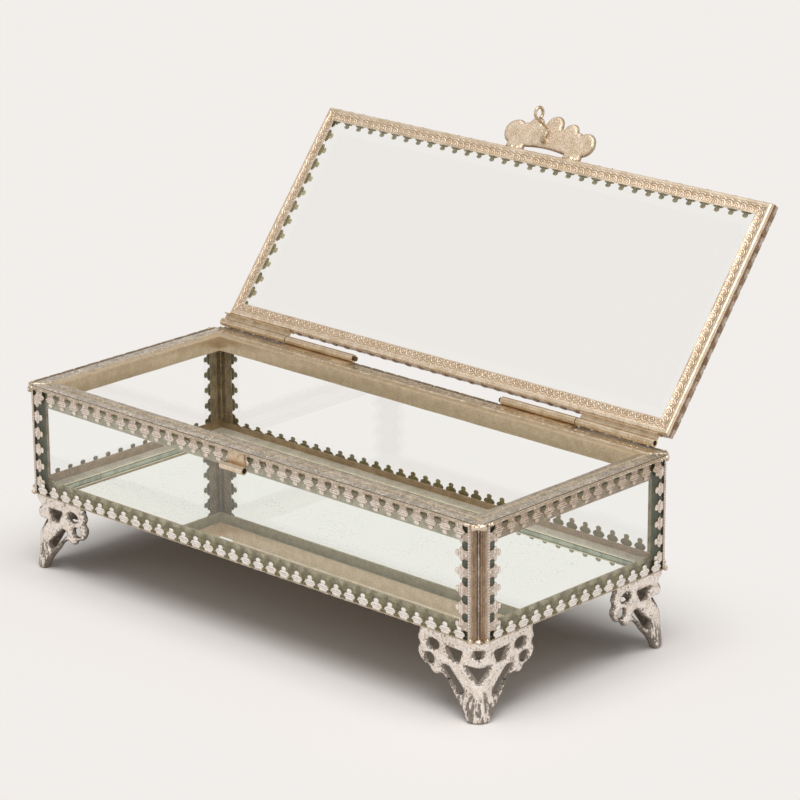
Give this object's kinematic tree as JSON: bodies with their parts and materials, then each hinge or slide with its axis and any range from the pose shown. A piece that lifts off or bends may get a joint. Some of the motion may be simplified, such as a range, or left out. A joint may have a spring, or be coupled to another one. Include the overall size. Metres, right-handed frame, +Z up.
{
  "type": "glass casket box",
  "caption": "Clear glass casket box in pressed brass lace strip, with a mirror floor, cast feet and a bevelled glass lid on tube hinges that leans open.",
  "frame": {"origin": "on the surface that the feet stand on, at the centre of the object's width and depth, measured with the lid open", "axes": "+X to the right along the box's long front, +Y to the back, where the hinges are, +Z up; the stored pose has the lid leaning open"},
  "size_m": [0.203, 0.1558, 0.1482],
  "materials": {
    "lace_strip": "satin, embossed, lightly tarnished",
    "castings": "cast, worn bright on the high places and dark in the hollows",
    "fittings": "drawn tube and wire, soldered",
    "pins": "plain",
    "backing": "dull sheet",
    "clear_glass": "polished, green at the edges",
    "mirror": "silvered glass"
  },
  "bodies": {
    "casket": {"front_glass": "clear_glass", "back_glass": "clear_glass", "left_glass": "clear_glass", "right_glass": "clear_glass", "floor_mirror": "mirror", "backing_plate": "backing", "front_top_rail": "lace_strip", "back_top_rail": "lace_strip", "left_top_rail": "lace_strip", "right_top_rail": "lace_strip", "front_floor_rail": "lace_strip", "back_floor_rail": "lace_strip", "left_floor_rail": "lace_strip", "right_floor_rail": "lace_strip", "front_left_stile": "lace_strip", "front_right_stile": "lace_strip", "back_left_stile": "lace_strip", "back_right_stile": "lace_strip", "left_front_stile": "lace_strip", "left_back_stile": "lace_strip", "right_front_stile": "lace_strip", "right_back_stile": "lace_strip", "foot_front_left": "castings", "foot_front_right": "castings", "foot_back_left": "castings", "foot_back_right": "castings", "catch_tab": "fittings", "catch_tube": "fittings", "left_box_knuckle": "fittings", "right_box_knuckle": "fittings", "left_hinge_pin": "pins", "right_hinge_pin": "pins"},
    "lid": {"lid_glass": "clear_glass", "lid_front_rail": "lace_strip", "lid_back_rail": "lace_strip", "lid_left_rail": "lace_strip", "lid_right_rail": "lace_strip", "left_lid_knuckle": "fittings", "right_lid_knuckle": "fittings", "thumb_piece": "castings", "hook_wire": "fittings"}
  },
  "joints": [
    {"name": "lid_hinge", "type": "hinge", "parent": "casket", "child": "lid", "pos_m": [0, 0.0148, 0.06538], "axis": [1, 0, 0], "range_deg": [0, 128.4]}
  ]
}
